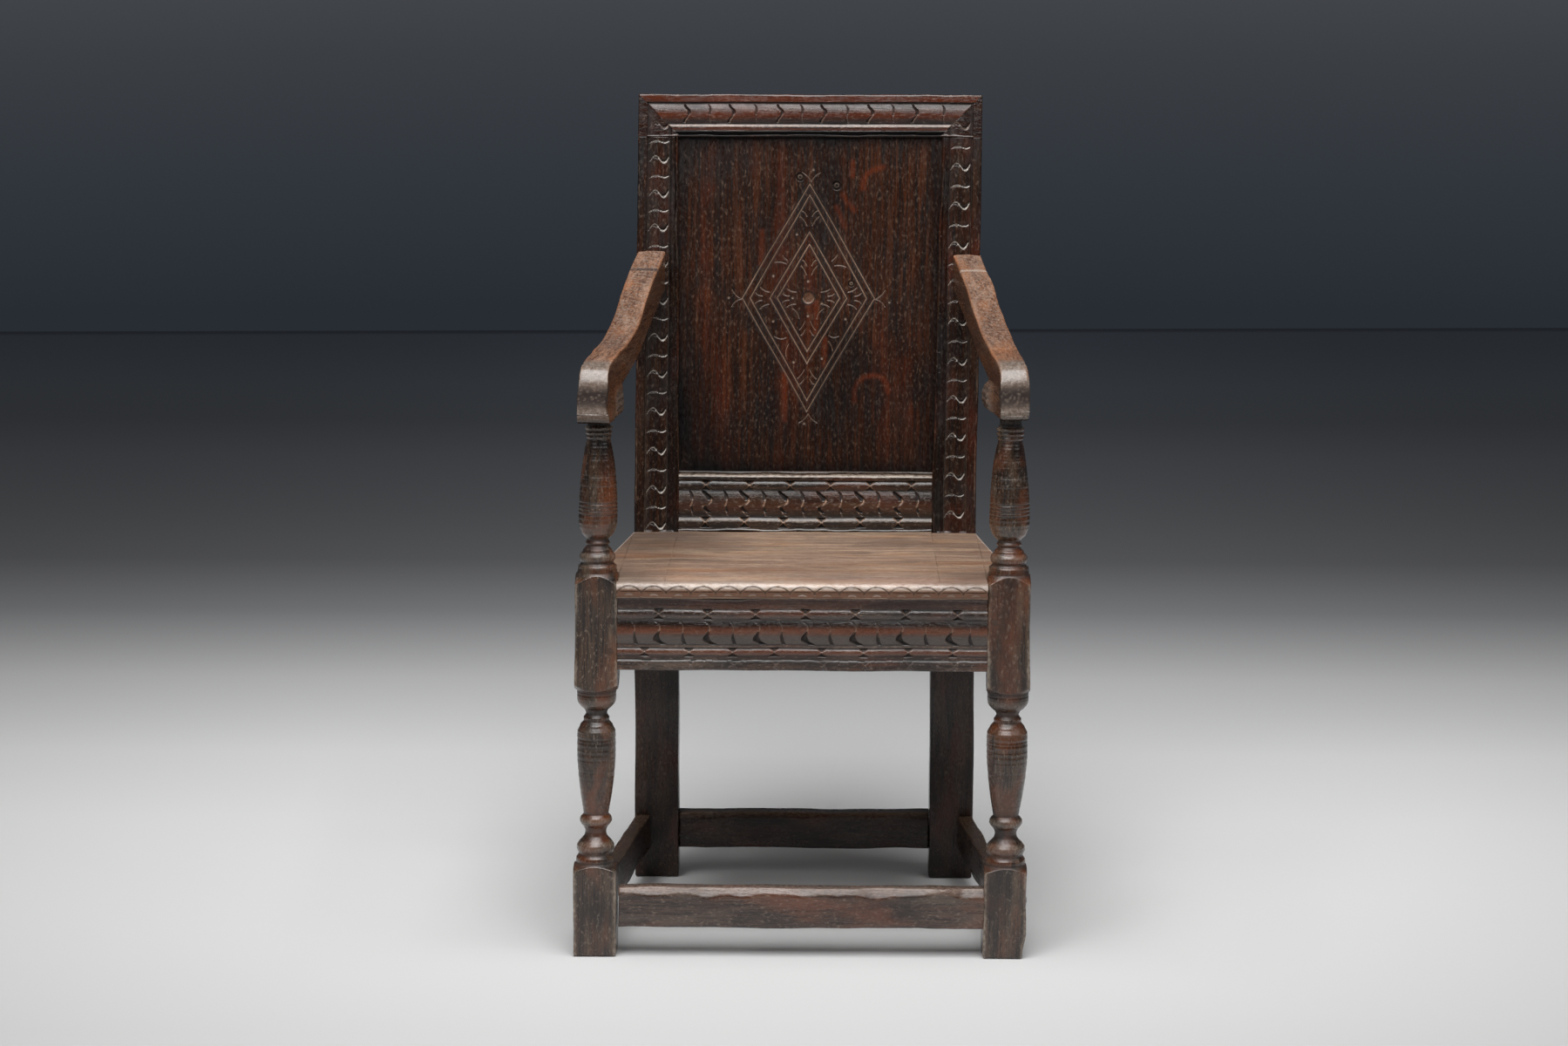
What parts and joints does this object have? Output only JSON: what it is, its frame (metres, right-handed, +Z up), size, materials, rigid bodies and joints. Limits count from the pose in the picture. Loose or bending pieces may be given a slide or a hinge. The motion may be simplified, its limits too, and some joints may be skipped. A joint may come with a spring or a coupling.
{
  "type": "wainscot chair",
  "caption": "Joined oak armchair with a panelled raked back, scrolled arms on turned front posts, a board seat and low box stretchers.",
  "frame": {"origin": "on the floor, under the middle of the chair's bounding box", "axes": "+Z up, -Y towards the front of the chair, X across it; left is -X as seen from the front"},
  "size_m": [0.5612, 0.5351, 1.0477],
  "materials": {
    "dark_oak": "old waxed oak, dark brown, worn edges",
    "panel_oak": "old waxed oak panel, dark red brown with figure",
    "seat_oak": "rubbed grey brown oak board",
    "arm_oak": "hand-polished tan brown oak",
    "peg_oak": "end grain of oak pegs"
  },
  "bodies": {
    "root": {"front_post_left": "dark_oak", "front_post_right": "dark_oak", "back_post_left": "dark_oak", "back_post_right": "dark_oak", "crest_rail": "dark_oak", "lower_back_rail": "dark_oak", "back_panel": "panel_oak", "front_seat_rail": "dark_oak", "side_seat_rail_left": "dark_oak", "side_seat_rail_right": "dark_oak", "rear_seat_rail": "dark_oak", "seat_board": "seat_oak", "arm_left": "arm_oak", "arm_right": "arm_oak", "front_stretcher": "dark_oak", "rear_stretcher": "dark_oak", "side_stretcher_left": "dark_oak", "side_stretcher_right": "dark_oak", "pegs_front_rail": "peg_oak", "pegs_rear_rail": "peg_oak", "pegs_rear_stretcher": "peg_oak", "pegs_side_rails_front": "peg_oak", "pegs_side_rails_rear": "peg_oak", "pegs_side_stretchers_front": "peg_oak", "pegs_side_stretchers_rear": "peg_oak", "pegs_lower_back_rail": "peg_oak", "pegs_crest_rail": "peg_oak", "pegs_arms": "peg_oak"}
  },
  "joints": []
}
